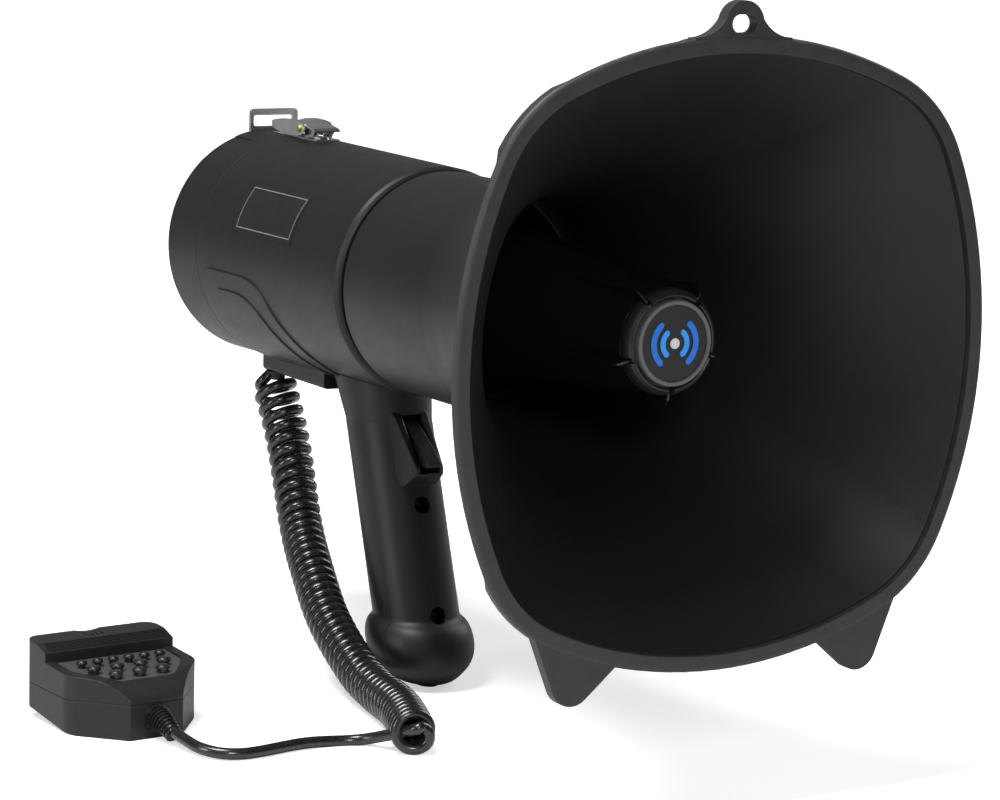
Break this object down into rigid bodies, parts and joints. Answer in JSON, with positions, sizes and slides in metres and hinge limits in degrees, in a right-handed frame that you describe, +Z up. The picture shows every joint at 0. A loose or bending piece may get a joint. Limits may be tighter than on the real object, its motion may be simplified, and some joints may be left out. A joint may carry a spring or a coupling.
{
  "type": "handheld megaphone",
  "caption": "Handheld megaphone with a bulged-square horn, pistol grip and trigger, latched rear battery cover and a fist microphone on a coiled cord.",
  "frame": {"origin": "centre of the horn's mouth plane, on the horn axis", "axes": "-Y out of the mouth along the horn axis, +Y back along the body, +Z up, grip pointing down"},
  "size_m": [0.3012, 0.3864, 0.3144],
  "materials": {
    "rim_rubber": "satin",
    "horn_plastic": "matte",
    "gloss_black": "gloss",
    "internal_plastic": "matte",
    "nose_grey": "satin",
    "badge": "gloss",
    "label": "satin",
    "steel_screws": "satin",
    "black_screws": "satin",
    "latch_steel": "satin",
    "brass": "satin",
    "magnet": "matte",
    "driver_steel": "satin",
    "diaphragm": "satin",
    "circuit_board": "satin",
    "cells": "gloss",
    "gasket": "matte",
    "trigger_plastic": "satin",
    "switch_plastic": "satin",
    "cord_black": "gloss",
    "mic_plastic": "matte",
    "mic_panel": "satin",
    "key_rubber": "satin"
  },
  "bodies": {
    "root": {"amplifier_board": "circuit_board", "batteries": "cells", "battery_holder": "internal_plastic", "body_shell": "horn_plastic", "cable_gland": "gasket", "contact_springs": "steel_screws", "cover_hinge_pin": "steel_screws", "driver_diaphragm": "diaphragm", "driver_magnet": "magnet", "driver_top_plate": "driver_steel", "driver_yoke": "driver_steel", "grip_front_shell": "horn_plastic", "grip_rear_shell": "horn_plastic", "grip_screws": "black_screws", "horn_bell": "horn_plastic", "horn_plug": "gloss_black", "horn_screws": "steel_screws", "latch_base": "latch_steel", "latch_rivets": "steel_screws", "lever_pin": "steel_screws", "mic_cord": "cord_black", "micro_switch": "switch_plastic", "nose_badge": "badge", "nose_cap": "nose_grey", "rim_guard": "rim_rubber", "side_label": "label", "throat_bowl": "gloss_black", "tone_arm": "internal_plastic", "trigger_pin": "steel_screws", "trigger_spring": "steel_screws"},
    "cover": {"rear_cover": "horn_plastic", "cover_contacts": "steel_screws", "cover_gasket": "gasket", "strap_bracket": "latch_steel", "cover_rivets": "steel_screws", "latch_catch": "latch_steel"},
    "lever": {"latch_lever": "latch_steel", "link_pin": "brass"},
    "link": {"latch_link": "latch_steel"},
    "trigger": {"trigger": "trigger_plastic"},
    "mic": {"mic_top_shell": "mic_plastic", "mic_bottom_shell": "mic_plastic", "mic_panel": "mic_panel", "mic_board": "circuit_board", "mic_capsule": "internal_plastic", "mic_screws": "steel_screws", "mic_strain_relief": "cord_black"},
    "key_back_1": {"key_back_1": "key_rubber"},
    "key_back_2": {"key_back_2": "key_rubber"},
    "key_back_3": {"key_back_3": "key_rubber"},
    "key_back_4": {"key_back_4": "key_rubber"},
    "key_back_5": {"key_back_5": "key_rubber"},
    "key_back_6": {"key_back_6": "key_rubber"},
    "key_front_1": {"key_front_1": "key_rubber"},
    "key_front_2": {"key_front_2": "key_rubber"},
    "key_front_3": {"key_front_3": "key_rubber"},
    "key_middle_1": {"key_middle_1": "key_rubber"},
    "key_middle_2": {"key_middle_2": "key_rubber"},
    "key_middle_3": {"key_middle_3": "key_rubber"},
    "key_middle_4": {"key_middle_4": "key_rubber"}
  },
  "joints": [
    {"name": "cover_hinge", "type": "hinge", "parent": "root", "child": "cover", "pos_m": [0, 0.3538, -0.0565], "axis": [-1, 0, 0], "range_deg": [0, 100]},
    {"name": "lever_hinge", "type": "hinge", "parent": "root", "child": "lever", "pos_m": [0, 0.347, 0.0561], "axis": [-1, 0, 0], "range_deg": [0, 115]},
    {"name": "link_hinge", "type": "hinge", "parent": "lever", "child": "link", "pos_m": [0, 0.3406, 0.0568], "axis": [-1, 0, 0], "range_deg": [-115, 0]},
    {"name": "trigger_hinge", "type": "hinge", "parent": "root", "child": "trigger", "pos_m": [0, 0.25, -0.0605], "axis": [1, 0, 0], "range_deg": [0, 4.5], "stiffness_Nm_per_rad": 0.5},
    {"name": "mic_lift", "type": "slide", "parent": "root", "child": "mic", "axis": [0, 0, 1], "range_m": [0, 0.15]},
    {"name": "key_back_1_press", "type": "slide", "parent": "mic", "child": "key_back_1", "axis": [0, 0, -1], "range_m": [0, 0.0012], "stiffness_N_per_m": 400},
    {"name": "key_back_2_press", "type": "slide", "parent": "mic", "child": "key_back_2", "axis": [0, 0, -1], "range_m": [0, 0.0012], "stiffness_N_per_m": 400},
    {"name": "key_back_3_press", "type": "slide", "parent": "mic", "child": "key_back_3", "axis": [0, 0, -1], "range_m": [0, 0.0012], "stiffness_N_per_m": 400},
    {"name": "key_back_4_press", "type": "slide", "parent": "mic", "child": "key_back_4", "axis": [0, 0, -1], "range_m": [0, 0.0012], "stiffness_N_per_m": 400},
    {"name": "key_back_5_press", "type": "slide", "parent": "mic", "child": "key_back_5", "axis": [0, 0, -1], "range_m": [0, 0.0012], "stiffness_N_per_m": 400},
    {"name": "key_back_6_press", "type": "slide", "parent": "mic", "child": "key_back_6", "axis": [0, 0, -1], "range_m": [0, 0.0012], "stiffness_N_per_m": 400},
    {"name": "key_front_1_press", "type": "slide", "parent": "mic", "child": "key_front_1", "axis": [0, 0, -1], "range_m": [0, 0.0012], "stiffness_N_per_m": 400},
    {"name": "key_front_2_press", "type": "slide", "parent": "mic", "child": "key_front_2", "axis": [0, 0, -1], "range_m": [0, 0.0012], "stiffness_N_per_m": 400},
    {"name": "key_front_3_press", "type": "slide", "parent": "mic", "child": "key_front_3", "axis": [0, 0, -1], "range_m": [0, 0.0012], "stiffness_N_per_m": 400},
    {"name": "key_middle_1_press", "type": "slide", "parent": "mic", "child": "key_middle_1", "axis": [0, 0, -1], "range_m": [0, 0.0012], "stiffness_N_per_m": 400},
    {"name": "key_middle_2_press", "type": "slide", "parent": "mic", "child": "key_middle_2", "axis": [0, 0, -1], "range_m": [0, 0.0012], "stiffness_N_per_m": 400},
    {"name": "key_middle_3_press", "type": "slide", "parent": "mic", "child": "key_middle_3", "axis": [0, 0, -1], "range_m": [0, 0.0012], "stiffness_N_per_m": 400},
    {"name": "key_middle_4_press", "type": "slide", "parent": "mic", "child": "key_middle_4", "axis": [0, 0, -1], "range_m": [0, 0.0012], "stiffness_N_per_m": 400}
  ],
  "couplings": [
    {"joint": "link_hinge", "follows": "lever_hinge", "ratio": -1}
  ]
}
